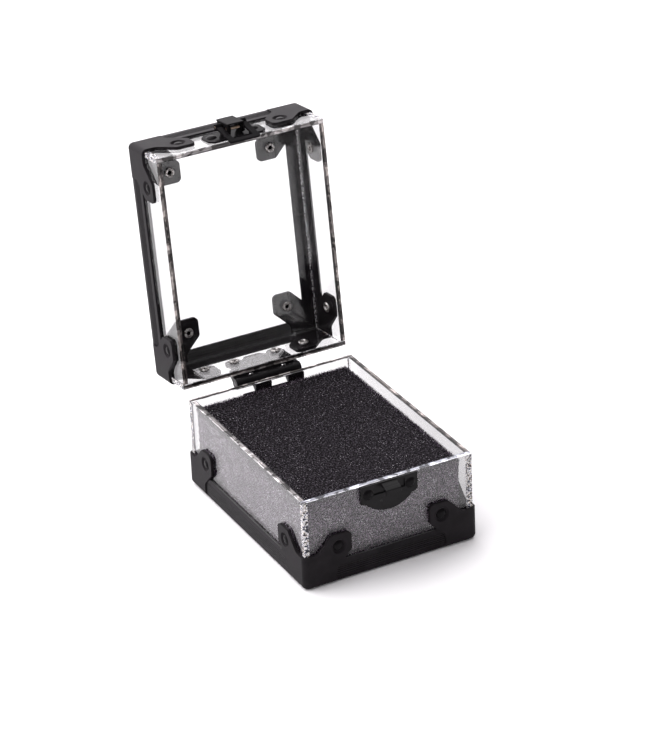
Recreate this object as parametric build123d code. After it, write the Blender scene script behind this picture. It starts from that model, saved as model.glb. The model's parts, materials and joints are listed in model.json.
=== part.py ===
from build123d import *
import os

os.makedirs("parts", exist_ok=True)

# Miniature carry case: a clear acrylic tray with a foam inlay, a clear acrylic lid on a
# rear hinge, L-section edge profiles, eight corner guards and one draw latch.
# Millimetres. X is across the front, -Y is the front, Z is up.
# The lid group is drawn closed and then swung back to its open stop.
# Everything is drawn about the middle of the tray, on the surface the case stands on.
# The saved parts are moved forward by CENTRE_Y, so that their origin is under the middle
# of the open case.
CENTRE_Y = 26.29

# Acrylic boxes
WIDTH = 106.0
DEPTH = 140.0
SHEET = 3.0
TRAY_RIM = 54.5
LID_RIM = 54.8
LID_TOP = 89.6

# Corner guards and edge profiles
GUARD = 1.8
GUARD_BAND = 18.7
GUARD_NECK = 7.0
GUARD_REACH = 28.3
GUARD_ROUND = 3.2
PROFILE = 1.1
WALL_LEG = 12.7
PANEL_LEG = 10.3
GROOVES = 5
GROOVE_PITCH = 1.25
GROOVE_WIDTH = 0.6
GROOVE_DEPTH = 0.35

# Tubular rivets
RIVET_INSET = 20.5
HEAD_R = 3.15
HEAD_H = 1.15
SHANK_R = 1.55
HOLE_R = 1.6
ROLL_R = 3.1
ROLL_H = 0.9
BORE_R = 1.1
DISH_R = 4.5
DISH_FLOOR_R = 3.5
DISH_DEPTH = 1.2

# Hinge
AXIS_Y = 74.5
AXIS_Z = 53.9
OPEN_DEG = 97.0
BARREL_R = 3.1
PIN_R = 1.25
KNUCKLE = 10.6
KNUCKLE_GAP = 0.15
LEAF = 1.2
LEAF_RIVET_X = 13.5
LEAF_RIVET_Z = 14.6
LID_LEAF_START = 1.4
TRAY_LEAF_START = 5.4
LEAF_LOBE = 5.7

# Foam inlay
FOAM_TOP = 50.2
FOAM_GAP_LEFT = 1.3
FOAM_GAP_FRONT = 1.3
FOAM_GAP_RIGHT = 3.6
FOAM_GAP_BACK = 2.4

# Draw latch, measured outward from the front wall and up from the standing surface
PLATE = 1.0
PLATE_RIVET = (13.3, 65.2)
LEVER_PIVOT = (5.0, 61.5)
LOOP_PIVOT = (5.9, 67.0)
LEVER_HALF = 5.4
LEVER_WALL = 0.9
LOOP_TILT = 14.0
LOOP_LENGTH = 19.9
LOOP_HALF = 9.6
LOOP_WINDOW = 6.0
LOOP_BAR = 3.0
LOOP_THICK = 1.2
CATCH = 1.2
CATCH_FLOOR = 0.25
CATCH_RIVET = (13.3, 48.6)
TONGUE_HALF = 4.8

HALF_W = WIDTH / 2
HALF_D = DEPTH / 2
HINGE = Axis((0, AXIS_Y, AXIS_Z), (1, 0, 0))


def block(x0, x1, y0, y1, z0, z1):
    size = (x1 - x0, y1 - y0, z1 - z0)
    return Pos((x0 + x1) / 2, (y0 + y1) / 2, (z0 + z1) / 2) * Box(*size)


def section_yz(points, x0, x1):
    """Solid with the (y, z) outline, from x0 to x1."""
    outline = [Vector(x0, y, z) for y, z in points]
    face = make_face(Polyline(*outline, close=True))
    return extrude(face, amount=x1 - x0, dir=(1, 0, 0))


def section_front(points, x0, x1):
    """Solid with the (outward, z) outline on the front wall, from x0 to x1."""
    return section_yz([(-HALF_D - out, z) for out, z in points], x0, x1)


def rod_x(y, z, radius, x0, x1):
    rod = Cylinder(radius, x1 - x0, rotation=(0, 90, 0))
    return Pos((x0 + x1) / 2, y, z) * rod


def front_rod(place, radius, x0, x1):
    return rod_x(-HALF_D - place[0], place[1], radius, x0, x1)


def open_lid(shape):
    return shape.rotate(HINGE, -OPEN_DEG)


def save(shape, name):
    export_step(shape.translate((0, -CENTRE_Y, 0)), f"parts/{name}.step")


def save_group(shapes, name):
    """One node of several separate solids."""
    moved = [shape.translate((0, -CENTRE_Y, 0)) for shape in shapes]
    export_step(Compound(children=moved), f"parts/{name}.step")


# ---- Rivets -------------------------------------------------------------------------

def rivet(grip):
    """Domed head on z = 0 and above, shank down, end rolled over below z = -grip."""
    end = -grip - ROLL_H
    dome = ThreePointArc((0, 0, HEAD_H), (HEAD_R * 0.68, 0, HEAD_H * 0.72), (HEAD_R, 0, 0))
    roll = ThreePointArc((ROLL_R, 0, -grip), (2.25, 0, end), (BORE_R, 0, -grip))
    steps = Polyline((HEAD_R, 0, 0), (SHANK_R, 0, 0), (SHANK_R, 0, -grip), (ROLL_R, 0, -grip))
    bore = Polyline(
        (BORE_R, 0, -grip),
        (BORE_R, 0, -grip + 2.0),
        (0, 0, -grip + 2.0),
        (0, 0, HEAD_H),
    )
    face = make_face([dome, steps, roll, bore])
    return revolve(face, Axis.Z)


def placed_rivet(grip, spot, normal):
    """Rivet with its head seated at spot and pointing along normal."""
    return Plane(origin=spot, z_dir=normal).location * rivet(grip)


def hole(spot, normal, deep=12.0):
    return Plane(origin=spot, z_dir=normal).location * Cylinder(HOLE_R, deep)


def dish(spot, normal):
    """Pressed dish in a guard, with its floor at spot."""
    cone = Cone(DISH_FLOOR_R, DISH_R + 0.1, DISH_DEPTH + 0.1)
    return Plane(origin=spot, z_dir=normal).location * Pos(0, 0, (DISH_DEPTH + 0.1) / 2) * cone


def corner_spots(z_face, z_sign):
    """Seat point and outward normal of the twelve guard rivets of one box."""
    seat = GUARD - DISH_DEPTH
    x_in = HALF_W - RIVET_INSET
    y_in = HALF_D - RIVET_INSET
    z_in = z_face - z_sign * RIVET_INSET
    spots = []
    for sx in (-1, 1):
        for sy in (-1, 1):
            spots.append(((sx * (HALF_W + seat), sy * y_in, z_in), (sx, 0, 0)))
            spots.append(((sx * x_in, sy * (HALF_D + seat), z_in), (0, sy, 0)))
            spots.append(((sx * x_in, sy * y_in, z_face + z_sign * seat), (0, 0, z_sign)))
    return spots


TRAY_SPOTS = corner_spots(GUARD, -1)
LID_SPOTS = corner_spots(LID_TOP, 1)

hinge_lid_spots = []
hinge_tray_spots = []
latch_spots = []
catch_spots = []
for side in (-1, 1):
    x = side * LEAF_RIVET_X
    hinge_lid_spots.append(((x, HALF_D + LEAF, AXIS_Z + LEAF_RIVET_Z), (0, 1, 0)))
    hinge_tray_spots.append(((x, HALF_D + LEAF, AXIS_Z - LEAF_RIVET_Z), (0, 1, 0)))
    latch_spots.append(((side * PLATE_RIVET[0], -HALF_D - PLATE, PLATE_RIVET[1]), (0, -1, 0)))
    catch_spots.append(((side * CATCH_RIVET[0], -HALF_D - CATCH, CATCH_RIVET[1]), (0, -1, 0)))


def drilled(shape, spots):
    """Cut a rivet hole wherever a rivet passes through the shape."""
    box = shape.bounding_box()
    for spot, normal in spots:
        inside = True
        for value, low, high in zip(spot, box.min, box.max):
            inside = inside and low - 3.0 <= value <= high + 3.0
        if inside:
            shape = shape - hole(spot, normal)
    return shape


# ---- Acrylic panels -----------------------------------------------------------------

def box_panels(prefix, z_face, z_rim, spots):
    """The five sheets of one open box: its flat panel lies at z_face."""
    inward = SHEET if z_rim > z_face else -SHEET
    z_low = min(z_face, z_face + inward)
    z_wall = sorted((z_face + inward, z_rim))
    x_in = HALF_W - SHEET
    y_in = HALF_D - SHEET
    panels = {
        "panel": block(-HALF_W, HALF_W, -HALF_D, HALF_D, z_low, z_low + SHEET),
        "front": block(-HALF_W, HALF_W, -HALF_D, -y_in, *z_wall),
        "back": block(-HALF_W, HALF_W, y_in, HALF_D, *z_wall),
        "left": block(-HALF_W, -x_in, -y_in, y_in, *z_wall),
        "right": block(x_in, HALF_W, -y_in, y_in, *z_wall),
    }
    return {f"{prefix}_{key}": drilled(value, spots) for key, value in panels.items()}


tray = box_panels("tray", GUARD, TRAY_RIM, TRAY_SPOTS + hinge_tray_spots + catch_spots)
lid = box_panels("lid", LID_TOP, LID_RIM, LID_SPOTS + hinge_lid_spots + latch_spots)


# ---- Corner guards ------------------------------------------------------------------

def rounded(face, near, radius):
    """Round the outline's corners that lie within 0.5 of the given points."""
    picked = []
    for vertex in face.vertices():
        for x, y in near:
            if abs(vertex.X - x) < 0.5 and abs(vertex.Y - y) < 0.5:
                picked.append(vertex)
    return fillet(picked, radius)


def guard_face():
    """One leg of a guard, with the corner of the acrylic box at (0, 0)."""
    hip = GUARD_REACH - GUARD_BAND + GUARD_NECK
    points = [
        (-GUARD, -GUARD),
        (GUARD_BAND, -GUARD),
        (GUARD_BAND, GUARD_NECK),
        (GUARD_REACH, hip),
        (GUARD_REACH, GUARD_REACH),
        (hip, GUARD_REACH),
        (GUARD_NECK, GUARD_BAND),
        (-GUARD, GUARD_BAND),
    ]
    face = make_face(Polyline(*points, close=True))
    face = rounded(face, [(GUARD_REACH, GUARD_REACH)], 3.0)
    face = rounded(face, [(GUARD_REACH, hip), (hip, GUARD_REACH)], 2.2)
    return rounded(face, [(GUARD_BAND, GUARD_NECK), (GUARD_NECK, GUARD_BAND)], 4.0)


def guard():
    """Guard for the box corner at the origin, with the box on the +X +Y +Z side."""
    leg = extrude(guard_face(), amount=-GUARD)
    side_x = Plane(origin=(0, 0, 0), x_dir=(0, 1, 0), z_dir=(1, 0, 0)).location * leg
    mirrored = extrude(guard_face(), amount=GUARD)
    side_y = Plane(origin=(0, 0, 0), x_dir=(1, 0, 0), z_dir=(0, -1, 0)).location * mirrored
    body = leg + side_x + side_y
    ridges = []
    for edge in body.edges():
        spot = edge @ 0.5
        outer = [abs(value + GUARD) < 0.01 for value in (spot.X, spot.Y, spot.Z)]
        if sum(outer) == 2:
            ridges.append(edge)
    body = fillet(ridges, GUARD_ROUND)
    seat = GUARD - DISH_DEPTH
    inset = RIVET_INSET
    for spot, normal in (
        ((-seat, inset, inset), (-1, 0, 0)),
        ((inset, -seat, inset), (0, -1, 0)),
        ((inset, inset, -seat), (0, 0, -1)),
    ):
        body = body - dish(spot, normal) - hole(spot, normal)
    return body


GUARD_SOLID = guard()


def placed_guard(sx, sy, z_face, upward):
    """Guard at one corner: sx, sy pick the corner, upward is the way into the box."""
    shape = GUARD_SOLID
    if sx > 0:
        shape = shape.mirror(Plane.YZ)
    if sy > 0:
        shape = shape.mirror(Plane.XZ)
    if upward < 0:
        shape = shape.mirror(Plane.XY)
    return Pos(sx * HALF_W, sy * HALF_D, z_face) * shape


CORNERS = {
    "front_left": (-1, -1),
    "front_right": (1, -1),
    "back_left": (-1, 1),
    "back_right": (1, 1),
}
tray_guards = {key: placed_guard(sx, sy, GUARD, 1) for key, (sx, sy) in CORNERS.items()}
lid_guards = {key: placed_guard(sx, sy, LID_TOP, -1) for key, (sx, sy) in CORNERS.items()}


# ---- Edge profiles ------------------------------------------------------------------

def profile(length):
    """L-section along X, the box edge at y = 0, z = 0 and the box on the +Y +Z side."""
    points = [
        (-PROFILE, -PROFILE),
        (PANEL_LEG - PROFILE, -PROFILE),
        (PANEL_LEG - PROFILE, 0.0),
        (0.0, 0.0),
        (0.0, WALL_LEG - PROFILE),
        (-PROFILE, WALL_LEG - PROFILE),
    ]
    bar = section_yz(points, -length / 2, length / 2)
    heel = [e for e in bar.edges() if abs((e @ 0.5).Y + PROFILE) < 0.01]
    heel = [e for e in heel if abs((e @ 0.5).Z + PROFILE) < 0.01 and e.length > 50]
    bar = fillet(heel, 0.9)
    middle = (WALL_LEG - 2 * PROFILE) / 2
    for index in range(GROOVES):
        z = middle + (index - (GROOVES - 1) / 2) * GROOVE_PITCH
        groove = block(
            -length / 2,
            length / 2,
            -PROFILE - 0.1,
            -PROFILE + GROOVE_DEPTH,
            z - GROOVE_WIDTH / 2,
            z + GROOVE_WIDTH / 2,
        )
        bar = bar - groove
    return bar


def four_profiles(z_face, upward, guards):
    """Front, back, left and right profile of one box, cut to meet the guards."""
    along_x = profile(WIDTH - 2 * GUARD_BAND)
    along_y = profile(DEPTH - 2 * GUARD_BAND)
    if upward < 0:
        along_x = along_x.mirror(Plane.XY)
        along_y = along_y.mirror(Plane.XY)
    placed = {
        "front": Pos(0, -HALF_D, z_face) * along_x,
        "back": Pos(0, HALF_D, z_face) * along_x.mirror(Plane.XZ),
        "left": Pos(-HALF_W, 0, z_face) * along_y.rotate(Axis.Z, -90),
        "right": Pos(HALF_W, 0, z_face) * along_y.rotate(Axis.Z, 90),
    }
    for key in placed:
        for corner, shape in guards.items():
            if key in corner:
                placed[key] = placed[key] - shape
    return placed


tray_profiles = four_profiles(GUARD, 1, tray_guards)
lid_profiles = four_profiles(LID_TOP, -1, lid_guards)


# ---- Foam inlay ---------------------------------------------------------------------

foam = block(
    -HALF_W + SHEET + FOAM_GAP_LEFT,
    HALF_W - SHEET - FOAM_GAP_RIGHT,
    -HALF_D + SHEET + FOAM_GAP_FRONT,
    HALF_D - SHEET - FOAM_GAP_BACK,
    GUARD + SHEET,
    FOAM_TOP,
)
for spot, normal in TRAY_SPOTS:
    if normal[2] != 0:
        pocket = Cylinder(ROLL_R + 0.5, 2 * ROLL_H + 0.6)
        foam = foam - Pos(spot[0], spot[1], GUARD + SHEET) * pocket


# ---- Hinge --------------------------------------------------------------------------

def knuckle(index, bore, flip):
    """One barrel section with the strap that joins it to its leaf; flip makes a tray one."""
    x0 = -2 * KNUCKLE + index * KNUCKLE + KNUCKLE_GAP / 2
    x1 = x0 + KNUCKLE - KNUCKLE_GAP
    strap = [(HALF_D, 1.4), (HALF_D, 6.0), (HALF_D + LEAF, 6.0), (AXIS_Y, 2.9), (AXIS_Y - 2.0, 1.4)]
    strap = [(y, AXIS_Z + flip * rise) for y, rise in strap]
    shape = rod_x(AXIS_Y, AXIS_Z, BARREL_R, x0, x1) + section_yz(strap, x0, x1)
    return shape - rod_x(AXIS_Y, AXIS_Z, bore, x0 - 1, x1 + 1)


def leaf_plate(flip, start):
    """Leaf on the back wall: two round lobes about its rivets and a raised middle."""
    points = [
        (-18.5, start),
        (18.5, start),
        (18.5, LEAF_RIVET_Z),
        (9.5, LEAF_RIVET_Z),
        (4.6, LEAF_RIVET_Z + 5.4),
        (-4.6, LEAF_RIVET_Z + 5.4),
        (-9.5, LEAF_RIVET_Z),
        (-18.5, LEAF_RIVET_Z),
    ]
    face = make_face(Polyline(*points, close=True))
    for side in (-1, 1):
        face = face + Pos(side * LEAF_RIVET_X, LEAF_RIVET_Z) * Circle(LEAF_LOBE)
    seat = Plane(origin=(0, HALF_D, AXIS_Z), x_dir=(1, 0, 0), z_dir=(0, -flip, 0))
    return seat.location * extrude(face, amount=-flip * LEAF)


def hinge_leaf(own, bore, flip, start, spots):
    """Leaf with its own knuckles; its plate starts at this distance from the axis."""
    shape = leaf_plate(flip, start)
    for index in own:
        shape = shape + knuckle(index, bore, flip)
    for spot, normal in spots:
        shape = shape - hole(spot, normal)
    return shape


def stop_lug(index):
    """Nose behind a tray knuckle that the lid leaf lies on at the open stop."""
    middle = -2 * KNUCKLE + (index + 0.5) * KNUCKLE
    points = [(0.5, 1.6), (0.5, 2.6), (2.6, 2.92), (6.4, 2.46), (6.4, 1.1), (2.0, 0.2)]
    points = [(AXIS_Y + y, AXIS_Z + z) for y, z in points]
    return section_yz(points, middle - 3.0, middle + (KNUCKLE - KNUCKLE_GAP) / 2)


leaf_lid = hinge_leaf((0, 2), PIN_R + 0.05, 1, LID_LEAF_START, hinge_lid_spots)
leaf_tray = hinge_leaf((1, 3), PIN_R + 0.01, -1, TRAY_LEAF_START, hinge_tray_spots)
for index in (1, 3):
    leaf_tray = leaf_tray + stop_lug(index)
leaf_tray = leaf_tray - rod_x(AXIS_Y, AXIS_Z, PIN_R + 0.01, -21, 21)
hinge_pin = rod_x(AXIS_Y, AXIS_Z, PIN_R, -2 * KNUCKLE, 2 * KNUCKLE)


# ---- Draw latch on the lid ----------------------------------------------------------

def front_plate(points, thick):
    """Sheet on the outside of the front wall with the (x, z) outline."""
    face = make_face(Polyline(*points, close=True))
    seat = Plane(origin=(0, -HALF_D, 0), x_dir=(1, 0, 0), z_dir=(0, -1, 0))
    return seat.location * extrude(face, amount=thick)


ears = [
    (-18.2, 59.5),
    (-15.2, 56.2),
    (15.2, 56.2),
    (18.2, 59.5),
    (18.2, 68.5),
    (14.8, 72.6),
    (-14.8, 72.6),
    (-18.2, 68.5),
]
latch_plate = drilled(front_plate(ears, PLATE), latch_spots)
lug = [(0.5, 61.0), (1.0, 61.0), (4.2, 59.78), (5.0, 61.5), (4.6, 63.3), (1.0, 64.6), (0.5, 64.6)]
for side in (-1, 1):
    x0, x1 = sorted((side * 3.0, side * 4.2))
    ear = section_front(lug, x0, x1) + front_rod(LEVER_PIVOT, 1.9, x0, x1)
    latch_plate = latch_plate + ear
    x0, x1 = sorted((side * 7.0, side * 8.6))
    pip = section_front([(0.5, 56.7), (2.5, 56.9), (2.5, 58.0), (0.5, 58.2)], x0, x1)
    latch_plate = latch_plate + pip
latch_plate = latch_plate - front_rod(LEVER_PIVOT, 1.01, -6, 6)
latch_pin = front_rod(LEVER_PIVOT, 1.0, -LEVER_HALF, LEVER_HALF)

cheek = [
    (1.2, 62.0),
    (2.6, 59.2),
    (8.3, 59.2),
    (8.3, 73.0),
    (5.6, 73.0),
    (1.03, 69.5),
    (1.03, 68.0),
    (1.2, 66.0),
]
cheek_inner = LEVER_HALF - LEVER_WALL
lever = section_front([(7.4, 59.2), (8.3, 59.2), (8.3, 74.0), (7.4, 74.0)], -LEVER_HALF, LEVER_HALF)
for side in (-1, 1):
    x0, x1 = sorted((side * cheek_inner, side * LEVER_HALF))
    lever = lever + section_front(cheek, x0, x1)
corners = [e for e in lever.edges() if abs((e @ 0.5).Y + HALF_D + 8.3) < 0.01 and e.length > 5]
lever = fillet(corners, 0.6)
lever = lever - front_rod(LEVER_PIVOT, 1.05, -6, 6)
lever = lever - front_rod(LOOP_PIVOT, 0.81, -6, 6)
loop_pin = front_rod(LOOP_PIVOT, 0.8, -LOOP_HALF, LOOP_HALF)


def latch_loop():
    """Flat frame hanging from its pivot, drawn straight down and then tilted inward."""
    y0 = -HALF_D - LOOP_PIVOT[0]
    z0 = LOOP_PIVOT[1]
    half = LOOP_THICK / 2
    shape = block(-LOOP_HALF, LOOP_HALF, y0 - half, y0 + half, z0 - LOOP_LENGTH, z0)
    inner = block(-LOOP_WINDOW, LOOP_WINDOW, y0 - 2, y0 + 2, z0 - LOOP_LENGTH + LOOP_BAR, z0 + 1)
    shape = shape - inner
    for side in (-1, 1):
        x0, x1 = sorted((side * (LEVER_HALF + 0.2), side * LOOP_HALF))
        shape = shape + rod_x(y0, z0, 1.7, x0, x1)
    feet = shape.edges().filter_by(Axis.Y)
    feet = [e for e in feet if abs((e @ 0.5).Z - z0 + LOOP_LENGTH) < 0.01]
    shape = fillet(feet, 1.2)
    shape = shape - rod_x(y0, z0, 0.86, -12, 12)
    return shape.rotate(Axis((0, y0, z0), (1, 0, 0)), LOOP_TILT)


loop = latch_loop()


# ---- Catch on the tray --------------------------------------------------------------

def catch_plate():
    arc = ThreePointArc((14.5, 42.4), (0, 36.0), (-14.5, 42.4))
    left = Polyline((-14.5, 42.4), (-17.8, 43.4), (-17.8, 54.2), (17.8, 54.2), (17.8, 43.4), (14.5, 42.4))
    seat = Plane(origin=(0, -HALF_D, 0), x_dir=(1, 0, 0), z_dir=(0, -1, 0))
    shape = seat.location * extrude(make_face([arc, left]), amount=CATCH)
    shape = shape - block(-9.9, 9.9, -HALF_D - 5, -HALF_D - CATCH_FLOOR, 47.2, 52.5)
    tongue = [
        (0.0, 51.1),
        (0.0, 53.2),
        (1.4, 53.2),
        (6.0, 51.3),
        (6.6, 50.7),
        (6.6, 48.2),
        (5.6, 48.2),
        (5.6, 50.0),
        (2.6, 51.0),
    ]
    shape = shape + section_front(tongue, -TONGUE_HALF, TONGUE_HALF)
    return drilled(shape, catch_spots)


# ---- Write every node ---------------------------------------------------------------

for name, shape in tray.items():
    save(shape, name)
for name, shape in lid.items():
    save(open_lid(shape), name)
for key, shape in tray_guards.items():
    save(shape, f"tray_guard_{key}")
for key, shape in lid_guards.items():
    save(open_lid(shape), f"lid_guard_{key}")
for key, shape in tray_profiles.items():
    save(shape, f"tray_profile_{key}")
for key, shape in lid_profiles.items():
    save(open_lid(shape), f"lid_profile_{key}")
save(foam, "foam_inlay")
save(leaf_tray, "hinge_leaf_tray")
save(hinge_pin, "hinge_pin")
save(open_lid(leaf_lid), "hinge_leaf_lid")
save(catch_plate(), "catch_plate")
save(open_lid(latch_plate), "latch_plate")
save(open_lid(latch_pin), "latch_lever_pin")
save(open_lid(lever), "latch_lever")
save(open_lid(loop_pin), "latch_loop_pin")
save(open_lid(loop), "latch_loop")

GUARD_GRIP = GUARD - DISH_DEPTH + SHEET


def rivets(spots, grip, swung):
    """A rivet at each spot, swung back with the lid if asked."""
    shapes = [placed_rivet(grip, *spot) for spot in spots]
    if swung:
        shapes = [open_lid(shape) for shape in shapes]
    return shapes


save_group(rivets(TRAY_SPOTS, GUARD_GRIP, False), "tray_guard_rivets")
save_group(rivets(LID_SPOTS, GUARD_GRIP, True), "lid_guard_rivets")
save_group(rivets(hinge_tray_spots, LEAF + SHEET, False), "hinge_tray_rivets")
save_group(rivets(hinge_lid_spots, LEAF + SHEET, True), "hinge_lid_rivets")
save_group(rivets(catch_spots, CATCH + SHEET, False), "catch_rivets")
save_group(rivets(latch_spots, PLATE + SHEET, True), "latch_rivets")

for label, place in (("lever", LEVER_PIVOT), ("loop", LOOP_PIVOT)):
    middle = open_lid(front_rod(place, 1.0, -1, 1)).center()
    print(f"{label} pivot at rest: y {middle.Y:.3f} z {middle.Z:.3f}")
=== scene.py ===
import json
import math
import random

import bpy
import bmesh
from mathutils import Matrix, Vector, noise


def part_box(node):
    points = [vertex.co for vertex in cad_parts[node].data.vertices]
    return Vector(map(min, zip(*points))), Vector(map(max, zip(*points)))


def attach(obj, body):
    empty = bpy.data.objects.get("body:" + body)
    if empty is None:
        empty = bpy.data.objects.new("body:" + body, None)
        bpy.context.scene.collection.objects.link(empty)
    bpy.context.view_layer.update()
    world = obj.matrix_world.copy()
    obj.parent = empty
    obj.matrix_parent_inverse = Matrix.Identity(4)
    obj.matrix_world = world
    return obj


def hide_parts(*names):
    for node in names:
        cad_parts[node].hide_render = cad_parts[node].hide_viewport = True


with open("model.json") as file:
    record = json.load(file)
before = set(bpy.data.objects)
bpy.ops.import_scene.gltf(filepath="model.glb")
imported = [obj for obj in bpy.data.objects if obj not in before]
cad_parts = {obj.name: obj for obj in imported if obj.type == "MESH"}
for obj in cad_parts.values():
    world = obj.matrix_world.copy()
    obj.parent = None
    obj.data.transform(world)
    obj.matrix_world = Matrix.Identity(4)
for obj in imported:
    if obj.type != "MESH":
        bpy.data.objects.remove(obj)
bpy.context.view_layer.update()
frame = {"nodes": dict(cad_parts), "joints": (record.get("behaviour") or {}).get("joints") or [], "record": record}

MM = 0.001
SHEET = 3.0 * MM
LID_HEIGHT = 34.8 * MM

# The middle of the tray's footprint, on the surface that the case stands on, and half its width.
low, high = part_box("tray_panel")
TRAY = Vector(((low.x + high.x) / 2, (low.y + high.y) / 2, 0.0))
HALF_WIDTH = (high.x - low.x) / 2


# ---- Camera -------------------------------------------------------------------------

def add_camera():
    """The viewing angle: from the front left, above, with a slight roll."""
    azimuth = math.radians(-26.975)
    elevation = math.radians(27.837)
    roll = math.radians(-2.491)
    distance = 1.7685
    target = TRAY + Vector((2.71, 5.75, 83.79)) * MM
    back = Vector(
        (
            math.sin(azimuth) * math.cos(elevation),
            -math.cos(azimuth) * math.cos(elevation),
            math.sin(elevation),
        )
    )
    level = (-back).cross(Vector((0, 0, 1))).normalized()
    upright = level.cross(-back)
    right = level * math.cos(roll) + upright * math.sin(roll)
    up = upright * math.cos(roll) - level * math.sin(roll)
    data = bpy.data.cameras.new("camera")
    data.lens = 151.07
    data.sensor_width = 36.0
    data.clip_start = 0.05
    data.clip_end = 50.0
    camera = bpy.data.objects.new("camera", data)
    place = Matrix.Translation(target + back * distance)
    turn = Matrix((right, up, back)).transposed().to_4x4()
    camera.matrix_world = place @ turn
    bpy.context.scene.collection.objects.link(camera)
    bpy.context.scene.camera = camera


add_camera()


# ---- Materials ----------------------------------------------------------------------

class Graph:
    """Short way to build a material's node tree."""

    def __init__(self, name):
        self.material = bpy.data.materials.new(name)
        self.material.use_nodes = True
        self.tree = self.material.node_tree
        self.tree.nodes.clear()
        self.output = self.tree.nodes.new("ShaderNodeOutputMaterial")

    def node(self, kind, settings=None, **values):
        """A node with its settings, and its sockets set or linked by name."""
        made = self.tree.nodes.new("ShaderNode" + kind)
        for key, value in (settings or {}).items():
            setattr(made, key, value)
        for key, value in values.items():
            numbered = key[0] == "i" and key[1:].isdigit()
            self.put(made.inputs[int(key[1:]) if numbered else key.replace("_", " ")], value)
        return made

    def put(self, socket, value):
        """A socket linked to a node or another socket, or set to a plain value."""
        if isinstance(value, bpy.types.NodeSocket):
            self.tree.links.new(value, socket)
        elif isinstance(value, bpy.types.Node):
            self.tree.links.new(value.outputs[0], socket)
        else:
            socket.default_value = value

    def math(self, operation, a, b=0.0):
        return self.node("Math", {"operation": operation}, i0=a, i1=b)

    def noise(self, place, scale, detail, rough):
        return self.node("TexNoise", Vector=place, Scale=scale, Detail=detail, Roughness=rough)

    def mix(self, factor, first, second, blend="MIX"):
        """Two colours mixed, or multiplied."""
        settings = {"data_type": "RGBA", "blend_type": blend}
        return self.node("Mix", settings, i0=factor, i6=first, i7=second).outputs[2]

    def toward(self, place, direction):
        """How far a place lies in a direction."""
        return self.node("VectorMath", {"operation": "DOT_PRODUCT"}, i0=place, i1=direction).outputs["Value"]

    def stretched(self, place, scales):
        """A place scaled along each axis, which makes a pattern finer there."""
        return self.node("VectorMath", {"operation": "MULTIPLY"}, i0=place, i1=scales)

    def ramp(self, value, stops):
        """Colour ramp: stops are (position, grey or colour)."""
        made = self.node("ValToRGB", Fac=value)
        while len(made.color_ramp.elements) < len(stops):
            made.color_ramp.elements.new(0.5)
        for element, (position, colour) in zip(made.color_ramp.elements, stops):
            element.position = position
            rgb = colour if isinstance(colour, tuple) else (colour,) * 3
            element.color = (*rgb, 1.0)
        return made

    def place(self):
        """Object coordinates, which go with the piece when its body moves."""
        return self.node("TexCoord").outputs["Object"]

    def finish(self, shader):
        self.put(self.output.inputs["Surface"], shader)
        return self.material


ACRYLIC_IOR = 1.49

# Tones of the glue joint's pattern, painted light: bright sparkle where light passes the joint, with dark patches
# that have bluish and amber glints at their borders.
GLUE_SPARKLE = [
    (0.415, (0.03, 0.03, 0.04)),
    (0.45, (0.25, 0.26, 0.36)),
    (0.47, (1.0, 1.0, 1.0)),
    (0.52, (0.95, 0.94, 0.95)),
    (0.54, (0.5, 0.36, 0.2)),
    (0.56, (0.04, 0.04, 0.05)),
]


def polished_face(g):
    """The clear, glossy skin of a sheet."""
    return g.node(
        "BsdfPrincipled",
        Base_Color=(0.8, 0.8, 0.8, 1.0),
        Roughness=0.0,
        IOR=ACRYLIC_IOR,
        Transmission_Weight=1.0,
    )


def see_through(g, solid):
    """Lamp light and light scattered off what is inside pass straight through the sheet."""
    ray = g.node("LightPath")
    clear = g.node("BsdfTransparent", Color=(0.94, 0.94, 0.94, 1.0))
    through = g.math("MAXIMUM", ray.outputs["Is Shadow Ray"], ray.outputs["Is Diffuse Ray"])
    return g.node("MixShader", i0=through, i1=solid, i2=clear)


def clear_panel(name):
    """The flat panel of the tray or lid: glass all over, as guards and profiles cover its rim."""
    g = Graph(name)
    return g.finish(see_through(g, polished_face(g)))


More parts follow.
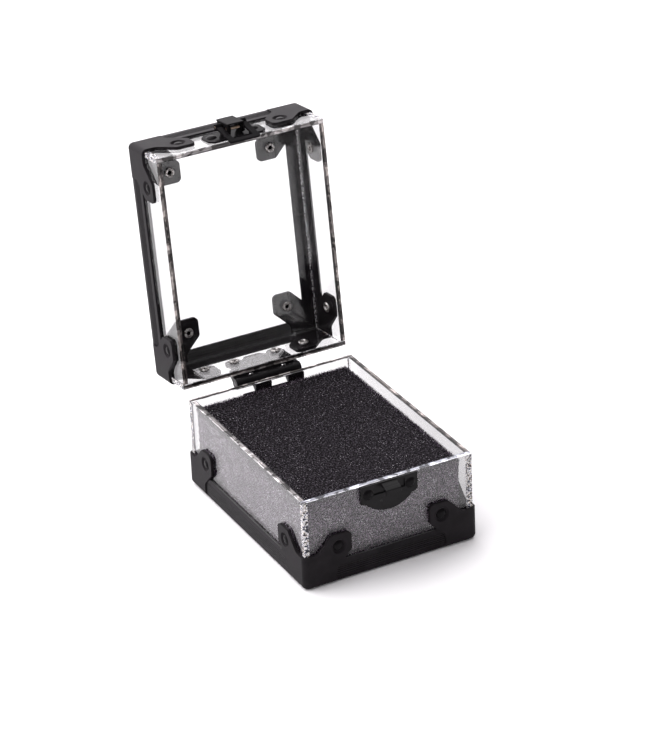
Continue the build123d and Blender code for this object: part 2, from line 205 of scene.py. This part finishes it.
def acrylic(name, sheet, rim_normal, outward, along, core, seam_depth):
    """Clear sheet. Its polished faces are glass; its sawn rim is opaque, streaked along its length and painted
    with light and reflection.

    rim_normal is the way its rim faces, outward the way its outer face does, along the axis
    of its length. core is the tones across its rim, painted light. Glue shows at the ends of a
    front or back sheet, and as beads along the panel, seam_depth below the rim; both carry painted
    sparkle of light.
    """
    corners = [v.co for v in sheet.data.vertices]
    rim_level = max(Vector(rim_normal).dot(co) for co in corners)
    outer = max(Vector(outward).dot(co) for co in corners)
    g = Graph(name)
    coords = g.node("TexCoord")
    place = coords.outputs["Object"]
    level = g.toward(place, rim_normal)
    faces_out = g.math("GREATER_THAN", g.toward(coords.outputs["Normal"], rim_normal), 0.6)
    on_rim = g.math("MULTIPLY", faces_out, g.math("GREATER_THAN", level, rim_level - 0.6 * MM))

    # The rim's colour is painted light and reflection, in bands across it and patches along it, over streaks of
    # the saw.
    lengthwise = tuple(110.0 if axis == along else 2600.0 for axis in range(3))
    streak = g.noise(g.stretched(place, lengthwise), 1.0, 3.0, 0.6)
    across = g.math("DIVIDE", g.math("SUBTRACT", g.toward(place, outward), outer - SHEET), SHEET)
    wobble = g.math("MULTIPLY", g.math("SUBTRACT", streak.outputs[0], 0.5), 0.35)
    profile = g.ramp(g.math("ADD", across, wobble), core)
    patch = g.ramp(g.noise(place, 130.0, 2.0, 0.5), [(0.38, 2.4), (0.4, 1.0), (0.52, 1.0), (0.54, 0.22)])
    fleck = g.ramp(streak, [(0.38, 0.35), (0.52, 1.0), (0.66, 1.5)])
    tone = g.mix(1.0, g.mix(1.0, profile, patch, "MULTIPLY"), fleck, "MULTIPLY")
    masks = [(on_rim, tone)]

    # At the ends of a front or back sheet: the glue joint, with painted sparkle of light.
    if along == 0:
        from_middle = g.math("ABSOLUTE", g.toward(place, (1.0, 0.0, 0.0)))
        ends = g.math("GREATER_THAN", from_middle, HALF_WIDTH - SHEET)
        below_rim = g.math("LESS_THAN", level, rim_level - 0.7 * MM)
        joint_pattern = g.noise(g.stretched(place, (420.0, 420.0, 620.0)), 1.0, 2.0, 0.75)
        masks.append((g.math("MULTIPLY", ends, below_rim), g.ramp(joint_pattern, GLUE_SPARKLE)))
    # Glue beads along the panel seam, painted as bright specks of light.
    if seam_depth:
        deep = g.math("GREATER_THAN", g.math("SUBTRACT", rim_level, level), seam_depth - 0.3 * MM)
        bead_sparkle = g.ramp(g.noise(place, 900.0, 1.0, 0.5), [(0.52, 0.0), (0.57, 1.0)])
        masks.append((g.math("MULTIPLY", deep, bead_sparkle), (0.85, 0.84, 0.86, 1.0)))

    cover, colour = masks[0]
    for mask, painted in masks[1:]:
        cover = g.math("MAXIMUM", cover, mask)
        colour = g.mix(mask, colour, painted)
    cloudy = g.node(
        "BsdfPrincipled",
        Base_Color=colour,
        Roughness=0.35,
        IOR=ACRYLIC_IOR,
        Specular_IOR_Level=0.12,
    )
    opacity = g.math("MULTIPLY", cover, 0.88)
    solid = g.node("MixShader", i0=opacity, i1=polished_face(g), i2=cloudy)
    return g.finish(see_through(g, solid))


def coated(name, tones, rough, grain, depth, gleam, index, lit_faces=None, lit_greys=(0.065, 0.106)):
    """Black coating: dark colour with faint blotches, a fine grain and uneven gloss.

    tones are its darkest and lightest colour. grain is the scale and depth the height of its
    relief. lit_faces is the direction of the faces given a painted highlight in lit_greys.
    """
    g = Graph(name)
    place = g.place()
    fine = g.noise(place, grain, 2.0, 0.6)
    blotch = g.noise(place, 90.0, 4.0, 0.6)
    colour = g.ramp(blotch, [(0.3, tones[0]), (0.75, tones[1])])
    gloss = g.ramp(blotch, [(0.3, rough[0]), (0.7, rough[1])])
    # Painted highlight: the faces turned the chosen way are painted in lighter, streaked greys.
    if lit_faces:
        highlight_streaks = g.noise(g.stretched(place, (60.0, 2500.0, 2500.0)), 1.0, 2.0, 0.6)
        painted_highlight = g.ramp(highlight_streaks, [(0.35, lit_greys[0]), (0.65, lit_greys[1])])
        lit_facing = g.math("GREATER_THAN", g.toward(g.node("TexCoord").outputs["Normal"], lit_faces), 0.8)
        colour = g.mix(lit_facing, colour, painted_highlight)
    bump = g.node("Bump", Strength=0.35, Distance=depth, Height=fine.outputs[0])
    shader = g.node(
        "BsdfPrincipled",
        Base_Color=colour,
        Roughness=gloss,
        IOR=index,
        Specular_IOR_Level=gleam,
        Normal=bump,
    )
    return g.finish(shader)


# Tones of the cells, from pits to struts: painted shade darkens the pits on top, and the sides get a lighter copy,
# painted light on their struts.
FOAM_TOP_SHADED = [(0.40, (0.001, 0.0008, 0.0011)), (0.53, (0.0105, 0.009, 0.0112)), (0.66, (0.075, 0.066, 0.079))]
FOAM_SIDES_LIT = [(0.40, (0.018, 0.014, 0.019)), (0.52, (0.046, 0.0345, 0.048)), (0.64, (0.205, 0.157, 0.215))]


def foam_material():
    """Open cells: pits with painted shade, lighter struts, and a few painted glints of light off cut cell walls.
    """
    g = Graph("foam")
    place = g.place()
    struts = g.noise(place, 1000.0, 2.0, 0.6)
    glint = g.noise(place, 1700.0, 0.0, 0.5)
    patch = g.noise(place, 120.0, 3.0, 0.6)
    # The top's tones carry painted shade in the pits; the sides' lighter tones are painted light.
    above = g.ramp(struts, FOAM_TOP_SHADED)
    sides_lit = g.ramp(struts, FOAM_SIDES_LIT)
    upright = g.node("SeparateXYZ", Vector=g.node("TexCoord").outputs["Normal"]).outputs["Z"]
    top = g.ramp(upright, [(0.4, 0.0), (0.7, 1.0)])
    # Painted glints: pale specks in the colour, common on the sides and rare on top.
    rare = g.ramp(glint, [(0.765, 0.0), (0.82, 1.0)])
    common = g.ramp(glint, [(0.64, 0.0), (0.72, 0.8)])
    spark = g.math("MULTIPLY", g.mix(top, common, rare), g.ramp(patch, [(0.4, 0.25), (0.65, 1.0)]))
    colour = g.mix(spark, g.mix(top, sides_lit, above), (0.9, 0.87, 0.92, 1.0))
    relief = g.ramp(upright, [(0.4, 0.4), (0.7, 0.8)])
    bump = g.node("Bump", Strength=relief, Distance=0.6 * MM, Height=struts.outputs[0])
    shader = g.node(
        "BsdfPrincipled",
        Base_Color=colour,
        Roughness=0.85,
        Specular_IOR_Level=0.05,
        Normal=bump,
    )
    return g.finish(shader)


GUARD_TONES = ((0.0105, 0.0092, 0.0104), (0.019, 0.0165, 0.0188))
PROFILE_TONES = ((0.0115, 0.01, 0.0116), (0.021, 0.0185, 0.0212))
METAL_TONES = ((0.0045, 0.0041, 0.0046), (0.0105, 0.0095, 0.0105))
PROFILE_LOOK = {
    "tones": PROFILE_TONES,
    "rough": (0.34, 0.44),
    "grain": 3400.0,
    "depth": 0.03 * MM,
    "gleam": 0.09,
    "index": 1.33,
}
GUARD = coated(
    "guard_black",
    tones=GUARD_TONES,
    rough=(0.4, 0.5),
    grain=2600.0,
    depth=0.06 * MM,
    gleam=0.08,
    index=1.4,
)
PROFILE = coated("profile_black", **PROFILE_LOOK)
RIVET = coated(
    "rivet_black",
    tones=METAL_TONES,
    rough=(0.2, 0.26),
    grain=2200.0,
    depth=0.03 * MM,
    gleam=0.14,
    index=1.28,
)
HINGE = coated(
    "hinge_black",
    tones=METAL_TONES,
    rough=(0.2, 0.28),
    grain=2000.0,
    depth=0.005 * MM,
    gleam=0.22,
    index=1.4,
)
# The catch plate's upward faces, the tongue's top and the plate's top edge, get a painted highlight.
CATCH = coated(
    "catch_black",
    tones=METAL_TONES,
    rough=(0.2, 0.28),
    grain=2000.0,
    depth=0.02 * MM,
    gleam=0.16,
    index=1.4,
    lit_faces=(0.0, 0.0, 1.0),
    lit_greys=(0.012, 0.024),
)
LATCH = coated(
    "latch_black",
    tones=METAL_TONES,
    rough=(0.14, 0.2),
    grain=2000.0,
    depth=0.02 * MM,
    gleam=0.05,
    index=1.22,
)


HINGE_END = 20.5 * MM


def steel():
    """Stained bare metal; the hinge pin's ends, beyond the knuckles, are black."""
    g = Graph("pin_steel")
    place = g.place()
    stain = g.noise(place, 700.0, 4.0, 0.6)
    metal = g.ramp(stain, [(0.35, (0.3, 0.2, 0.14)), (0.7, (0.52, 0.42, 0.34))])
    from_middle = g.math("ABSOLUTE", g.node("SeparateXYZ", Vector=place).outputs["X"])
    end = g.math("GREATER_THAN", from_middle, HINGE_END)
    colour = g.mix(end, metal, (0.012, 0.011, 0.012, 1.0))
    bare = g.math("SUBTRACT", 1.0, end)
    return g.finish(g.node("BsdfPrincipled", Base_Color=colour, Roughness=0.3, Metallic=bare))


STEEL = steel()
FOAM = foam_material()

BY_SLOT = {
    "black_guard": GUARD,
    "black_profile": PROFILE,
    "black_rivet": RIVET,
    "black_hinge": HINGE,
    "black_latch": LATCH,
    "pin_steel": STEEL,
    "foam": FOAM,
}


def paint(obj, material):
    obj.data.materials.clear()
    obj.data.materials.append(material)


def lid_turned(direction):
    """A direction given for the closed lid, turned to where the lid stands at rest."""
    hinge = next(joint for joint in frame["joints"] if joint["name"] == "lid_hinge")
    return tuple(Matrix.Rotation(math.radians(-hinge["range_deg"][1]), 3, "X") @ Vector(direction))


# Tones across a rim, from the sheet's inner face to its outer one: painted light and reflection, set wall by wall.
DARK_CORE = [
    (0.1, (0.8, 0.79, 0.8)),
    (0.2, (0.035, 0.03, 0.03)),
    (0.66, (0.06, 0.05, 0.048)),
    (0.8, (0.5, 0.47, 0.45)),
]
SPLIT_CORE = [
    (0.0, (0.05, 0.042, 0.042)),
    (0.48, (0.085, 0.075, 0.072)),
    (0.6, (0.3, 0.27, 0.255)),
]
BLUISH_CORE = [
    (0.1, (0.28, 0.29, 0.34)),
    (0.3, (0.5, 0.51, 0.57)),
    (0.7, (0.38, 0.39, 0.45)),
    (0.88, (0.9, 0.9, 0.94)),
]
LIGHT_CORE = [
    (0.1, (0.07, 0.065, 0.065)),
    (0.25, (0.36, 0.34, 0.34)),
    (0.72, (0.3, 0.28, 0.275)),
    (0.88, (0.8, 0.79, 0.8)),
]
CORES = {
    "tray_front": BLUISH_CORE,
    "tray_back": DARK_CORE,
    "tray_left": LIGHT_CORE,
    "tray_right": SPLIT_CORE,
    "lid_front": LIGHT_CORE,
    "lid_back": DARK_CORE,
    "lid_left": SPLIT_CORE,
    "lid_right": SPLIT_CORE,
}
WALLS = {
    "front": (0.0, -1.0, 0.0),
    "back": (0.0, 1.0, 0.0),
    "left": (-1.0, 0.0, 0.0),
    "right": (1.0, 0.0, 0.0),
}
SIDES = {**WALLS, "panel": (0.0, 0.0, 1.0)}
LID_DEPTH = LID_HEIGHT - SHEET


def sheet_material(name):
    """Acrylic for one wall or panel of the tray or of the lid."""
    box, side = name.split("_")
    if side == "panel":
        return clear_panel(name + "_clear")
    crosswise = side in ("front", "back")
    outward = WALLS[side]
    rim = (0.0, 0.0, 1.0)
    along = 0 if crosswise else 1
    seam = 0.0
    if box == "lid":
        outward = lid_turned(outward)
        rim = lid_turned((0.0, 0.0, -1.0))
        along = 0 if crosswise else 2
        seam = 0.0 if crosswise else LID_DEPTH
    return acrylic(name + "_clear", frame["nodes"][name], rim, outward, along, CORES[name], seam)


def lid_rivet():
    """Black rivet heads, and bare metal where the rolled ends stand inside the lid's sheets."""
    g = Graph("rivet_rolled")
    place = g.place()
    inside = 1.0
    for side, direction in SIDES.items():
        outward = lid_turned(direction)
        outer = max(Vector(outward).dot(v.co) for v in frame["nodes"]["lid_" + side].data.vertices)
        within = g.math("LESS_THAN", g.toward(place, outward), outer - SHEET - 0.1 * MM)
        inside = g.math("MULTIPLY", inside, within)
    black = g.ramp(g.noise(place, 90.0, 4.0, 0.6), [(0.3, METAL_TONES[0]), (0.75, METAL_TONES[1])])
    mottle = g.noise(place, 1300.0, 2.0, 0.6)
    bare = g.ramp(mottle, [(0.42, (0.05, 0.038, 0.03)), (0.57, (0.6, 0.58, 0.57))])
    shader = g.node(
        "BsdfPrincipled",
        Base_Color=g.mix(inside, black, bare),
        Roughness=g.ramp(inside, [(0.0, 0.22), (1.0, 0.32)]),
        Metallic=inside,
        IOR=1.28,
        Specular_IOR_Level=0.14,
    )
    return g.finish(shader)


LID_RIVET = lid_rivet()
# The tray profiles' upward faces, along the ridges of their grooves, get a painted highlight.
RIDGES_LIT = coated("profile_black_ridges_lit", **PROFILE_LOOK, lit_faces=(0.0, 0.0, 1.0), lit_greys=(0.06, 0.1))
# The lid's back profile gets painted light on the faces turned the same way as the lid's rim.
LIT_INSIDE = coated("profile_black_lit_inside", **PROFILE_LOOK, lit_faces=lid_turned((0.0, 0.0, -1.0)))
BY_NODE = {
    "catch_plate": CATCH,
    "lid_guard_rivets": LID_RIVET,
    "hinge_lid_rivets": LID_RIVET,
    "latch_rivets": LID_RIVET,
    "lid_profile_back": LIT_INSIDE,
}
for side in WALLS:
    BY_NODE["tray_profile_" + side] = RIDGES_LIT

for part in frame["record"]["subparts"]:
    name, slot = part["node"], part["material_slot"]
    if slot == "clear_acrylic":
        paint(frame["nodes"][name], sheet_material(name))
    else:
        paint(frame["nodes"][name], BY_NODE.get(name, BY_SLOT[slot]))


def soften_edges(obj, width):
    """A small rounding on the sharp edges of a CAD node, as modifiers; flat faces stay flat."""
    weld = obj.modifiers.new("weld", "WELD")
    weld.merge_threshold = 1e-6
    bevel = obj.modifiers.new("edges", "BEVEL")
    bevel.width = width
    bevel.segments = 2
    bevel.limit_method = "ANGLE"
    bevel.angle_limit = math.radians(40)
    flat = obj.modifiers.new("flat_faces", "WEIGHTED_NORMAL")
    flat.keep_sharp = False
    flat.weight = 100


for name, obj in frame["nodes"].items():
    if "guard" in name and "rivets" not in name:
        soften_edges(obj, 0.25 * MM)
    elif "profile" in name:
        soften_edges(obj, 0.1 * MM)
    elif name in ("catch_plate", "latch_plate", "latch_lever", "latch_loop"):
        soften_edges(obj, 0.15 * MM)

for part in frame["record"]["subparts"]:
    if part["material_slot"] == "clear_acrylic":
        # A hair's breadth of air, so that a sheet's face is not in the same place as what it touches.
        gap = frame["nodes"][part["node"]].modifiers.new("air_gap", "DISPLACE")
        gap.mid_level = 0.0
        gap.strength = -0.02 * MM


# ---- Foam inlay ---------------------------------------------------------------------

def noisy(place, scale, seed):
    """Smooth noise at a place; each seed gives a pattern of its own."""
    return noise.noise(Vector(place) * scale + Vector((seed, seed * 0.7, -seed)))


def add_fringe(mesh, low, high):
    """Torn cell walls that stand up along the upper edges, each a thin closed spike."""
    dice = random.Random(7)
    long_x, long_y = high.x - low.x, high.y - low.y
    reach = 1.0 * MM
    radius = 0.2
    third = 2.0944
    spikes = 14000
    for _ in range(spikes):
        walk = dice.random() * 2 * (long_x + long_y)
        inset = dice.random() ** 1.6 * 1.6 * MM
        if walk < 2 * long_x:
            x = low.x + walk % long_x
            y, out = (low.y + inset, (0, -1)) if walk < long_x else (high.y - inset, (0, 1))
        else:
            y = low.y + (walk - 2 * long_x) % long_y
            x, out = (low.x + inset, (-1, 0)) if walk < 2 * long_x + long_y else (high.x - inset, (1, 0))
        lean = Vector((out[0], out[1], 0.0)) * dice.uniform(0.1, 1.4)
        lean += Vector((dice.uniform(-0.5, 0.5), dice.uniform(-0.5, 0.5), 1.0))
        tip = lean.normalized() * dice.uniform(0.6, 2.5) * MM
        foot = Vector((x, y, high.z - 0.45 * MM - dice.random() ** 3 * 2.5 * MM))
        turn = dice.uniform(0, 2.1)
        ring = []
        for corner in range(3):
            angle = turn + corner * third
            ring.append(mesh.verts.new(foot + Vector((math.cos(angle), math.sin(angle), 0.0)) * radius * MM))
        top = foot + tip
        top.x = min(max(top.x, low.x - reach), high.x + reach)
        top.y = min(max(top.y, low.y - reach), high.y + reach)
        point = mesh.verts.new(top)
        mesh.faces.new(ring)
        for corner in range(3):
            mesh.faces.new((ring[corner], ring[(corner + 1) % 3], point))


def make_foam():
    """Open-cell foam block of fine grids: its top and sides are rough and torn."""
    low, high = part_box("foam_inlay")
    pitch = 0.65 * MM
    counts = [max(2, round((high[axis] - low[axis]) / pitch)) for axis in range(3)]
    mesh = bmesh.new()
    found = {}

    def vertex(index):
        if index in found:
            return found[index]
        spot = Vector(low[axis] + (high[axis] - low[axis]) * index[axis] / counts[axis] for axis in range(3))
        outward = Vector((0.0, 0.0, 0.0))
        for axis in range(3):
            if index[axis] == 0:
                outward[axis] = -1.0
            elif index[axis] == counts[axis]:
                outward[axis] = 1.0
        cell = noisy(spot, 1900.0, 3.1)
        lump = noisy(spot, 260.0, 9.4)
        deep = 0.34 * cell + 0.16 * lump - 0.22
        if outward.z < 0:
            deep = -0.15
        on_edge = outward.length > 1.1
        if on_edge:
            deep += 0.45 * noisy(spot, 1300.0, 5.7)
        spot += outward.normalized() * deep * MM
        found[index] = mesh.verts.new(spot)
        return found[index]

    for axis in range(3):
        u, v = [other for other in range(3) if other != axis]
        for end in (0, counts[axis]):
            for i in range(counts[u]):
                for j in range(counts[v]):
                    ring = []
                    for di, dj in ((0, 0), (1, 0), (1, 1), (0, 1)):
                        index = [0, 0, 0]
                        index[axis], index[u], index[v] = end, i + di, j + dj
                        ring.append(vertex(tuple(index)))
                    mesh.faces.new(ring)
    add_fringe(mesh, low, high)
    bmesh.ops.recalc_face_normals(mesh, faces=mesh.faces)
    data = bpy.data.meshes.new("foam_block")
    mesh.to_mesh(data)
    mesh.free()
    return data


foam = bpy.data.objects.new("foam_block", make_foam())
bpy.context.scene.collection.objects.link(foam)
paint(foam, FOAM)
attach(foam, "tray")
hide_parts("foam_inlay")


# ---- Floor and light ----------------------------------------------------------------

def add_floor():
    """A plain white sheet, large enough to fill every view."""
    g = Graph("floor_white")
    shader = g.node(
        "BsdfPrincipled",
        Base_Color=(0.94, 0.94, 0.94, 1.0),
        Roughness=0.9,
        Specular_IOR_Level=0.1,
    )
    g.finish(shader)
    mesh = bpy.data.meshes.new("floor")
    half = 12.0
    corners = [(-half, -half, 0), (half, -half, 0), (half, half, 0), (-half, half, 0)]
    mesh.from_pydata(corners, [], [(0, 1, 2, 3)])
    floor = bpy.data.objects.new("floor", mesh)
    paint(floor, g.material)
    bpy.context.scene.collection.objects.link(floor)


def add_light():
    """A wide soft sun from behind on the left, and a studio that is dark behind the camera."""
    world = bpy.data.worlds.new("studio")
    world.use_nodes = True
    tree = world.node_tree
    coords = tree.nodes.new("ShaderNodeTexCoord")
    along = tree.nodes.new("ShaderNodeVectorMath")
    along.operation = "DOT_PRODUCT"
    along.inputs[1].default_value = Vector((-0.35, 0.85, 0.35)).normalized()
    behind = tree.nodes.new("ShaderNodeMapRange")
    behind.inputs["From Min"].default_value = -0.7
    behind.inputs["From Max"].default_value = 0.9
    steep = tree.nodes.new("ShaderNodeMath")
    steep.operation = "POWER"
    steep.inputs[1].default_value = 1.6
    bright = tree.nodes.new("ShaderNodeMath")
    bright.operation = "MULTIPLY_ADD"
    bright.inputs[1].default_value = 2.5
    bright.inputs[2].default_value = 0.15
    tree.nodes["Background"].inputs["Color"].default_value = (1.0, 0.97, 1.0, 1.0)
    tree.links.new(coords.outputs["Generated"], along.inputs[0])
    tree.links.new(along.outputs["Value"], behind.inputs["Value"])
    tree.links.new(behind.outputs["Result"], steep.inputs[0])
    tree.links.new(steep.outputs[0], bright.inputs[0])
    tree.links.new(bright.outputs[0], tree.nodes["Background"].inputs["Strength"])
    bpy.context.scene.world = world
    data = bpy.data.lights.new("sun", "SUN")
    data.energy = 1.15
    data.angle = math.radians(50)
    sun = bpy.data.objects.new("sun", data)
    sun.rotation_euler = Vector((-0.45, 0.5, 0.95)).to_track_quat("Z", "Y").to_euler()
    bpy.context.scene.collection.objects.link(sun)


add_floor()
add_light()
bpy.context.scene.view_settings.view_transform = "Standard"
bpy.context.scene.view_settings.look = "None"
